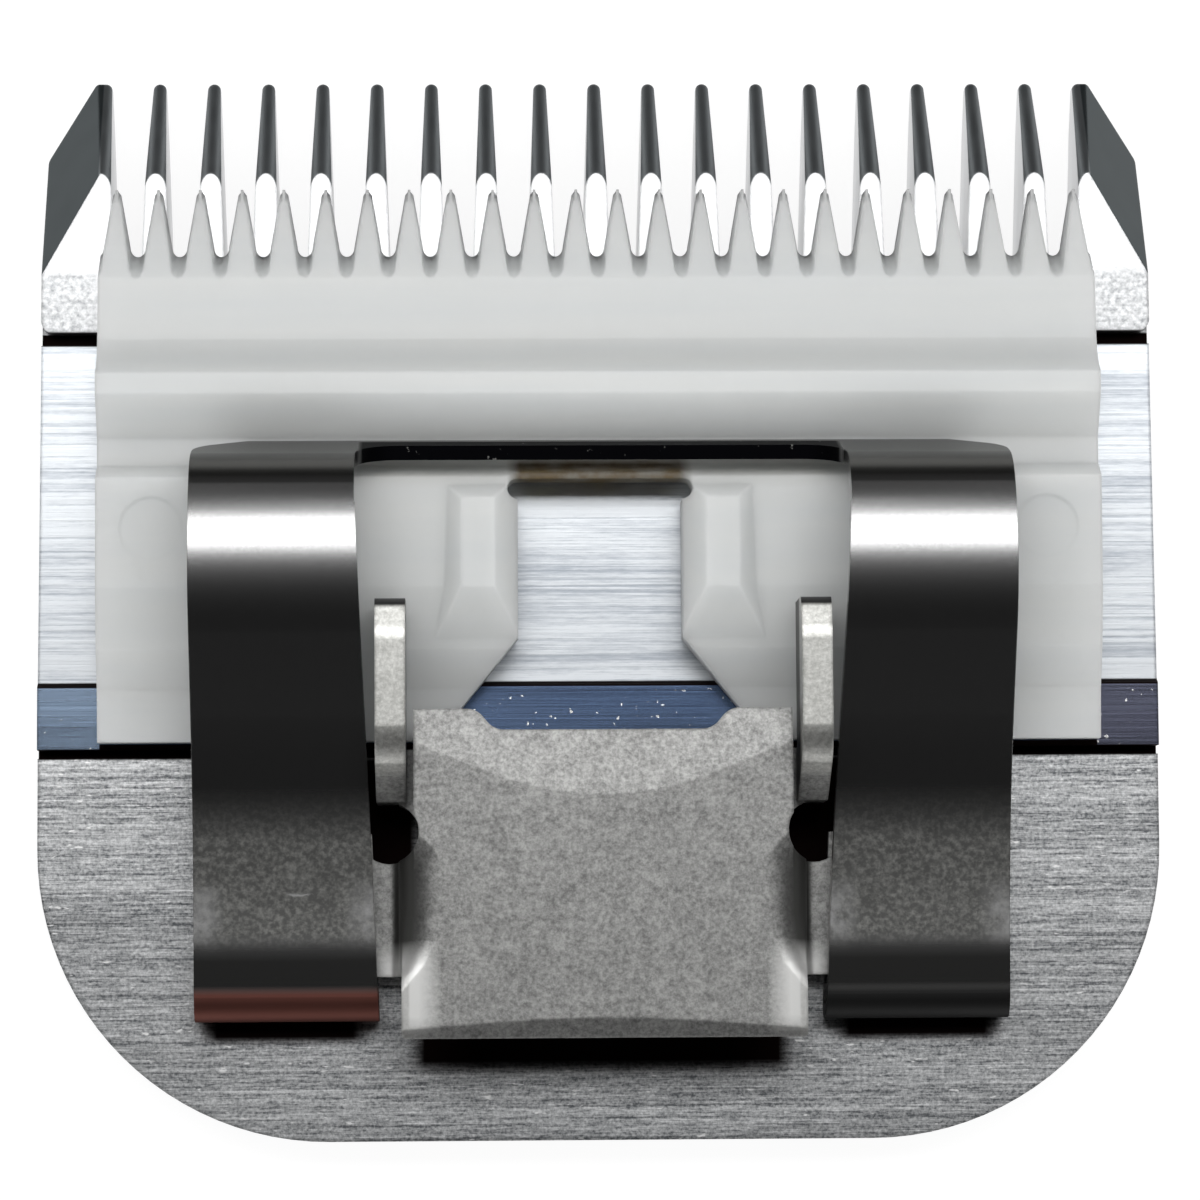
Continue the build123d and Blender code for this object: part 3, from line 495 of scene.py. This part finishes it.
# Studio: one wide soft box over the teeth, in a dark room with a lighter front and a grey wall low behind
world = bpy.data.worlds.new("dark_room")
world.use_nodes = True
tree = world.node_tree
direction = add(tree, "TexCoord")
forward = add(tree, "SeparateXYZ", {0: direction.outputs["Generated"]})
room = add(tree, "MapRange", {
    "Value": forward.outputs[1], "From Min": -0.3, "From Max": 0.9, "To Min": 0.01, "To Max": 0.1,
})
low = add(tree, "MapRange", {"Value": forward.outputs[2], "From Min": 0.56, "From Max": 0.3})
behind = add(tree, "MapRange", {
    "Value": forward.outputs[1], "From Min": -0.3, "From Max": -0.8, "To Max": 0.3,
})
wall = add(tree, "Math", {0: low.outputs[0], 1: behind.outputs[0], 2: room.outputs[0]},
           operation="MULTIPLY_ADD")

# matte surfaces get a soft fill, mostly from behind the blade, which mirrors don't show
ray = add(tree, "LightPath")
fill = add(tree, "MapRange", {
    "Value": forward.outputs[1], "From Min": -0.8, "From Max": 0.6, "To Min": 1.15, "To Max": 0.2,
})
fill = add(tree, "Math", {0: ray.outputs["Is Diffuse Ray"], 1: fill.outputs[0], 2: wall.outputs[0]},
           operation="MULTIPLY_ADD")
tree.links.new(fill.outputs[0], tree.nodes["Background"].inputs["Strength"])
tree.nodes["Background"].inputs["Color"].default_value = (1.0, 1.0, 1.0, 1.0)
bpy.context.scene.world = world

# the box reaches over the teeth between two angles from straight up, seen from the blade
box_height = 0.40
box_near_angle = math.radians(10.5)
box_far_angle = math.radians(31.5)
box_near = box_height * math.tan(box_near_angle)
box_far = box_height * math.tan(box_far_angle)
box_width = 0.6
box_radiance = 4.4
bpy.ops.object.light_add(type="AREA", location=(0, (box_near + box_far) / 2, box_height))
soft_box = bpy.context.object
soft_box.name = "soft_box"
soft_box.data.shape = "RECTANGLE"
soft_box.data.size = box_width
soft_box.data.size_y = box_far - box_near
soft_box.data.energy = box_radiance * math.pi * box_width * (box_far - box_near)


# Camera: almost straight down, a little from behind the blade
camera_place = Vector((-5.931, -17.436, 202.949)) * MM
camera_target = Vector((0.045, -0.004, 3.8)) * MM
camera_roll = math.radians(-0.379)
backward = (camera_place - camera_target).normalized()
right = Vector((0, 1, 0)).cross(backward).normalized()
up = backward.cross(right)
turned_right = right * math.cos(camera_roll) + up * math.sin(camera_roll)
turned_up = up * math.cos(camera_roll) - right * math.sin(camera_roll)
camera_data = bpy.data.cameras.new("camera")
camera_data.sensor_width = 36.0
camera_data.lens = 137.08
camera_data.clip_start = 0.01
camera = bpy.data.objects.new("camera", camera_data)
bpy.context.scene.collection.objects.link(camera)
camera.matrix_world = Matrix.Translation(camera_place) @ Matrix(
    (turned_right, turned_up, backward)
).transposed().to_4x4()
bpy.context.scene.camera = camera
bpy.context.scene.view_settings.view_transform = "Standard"
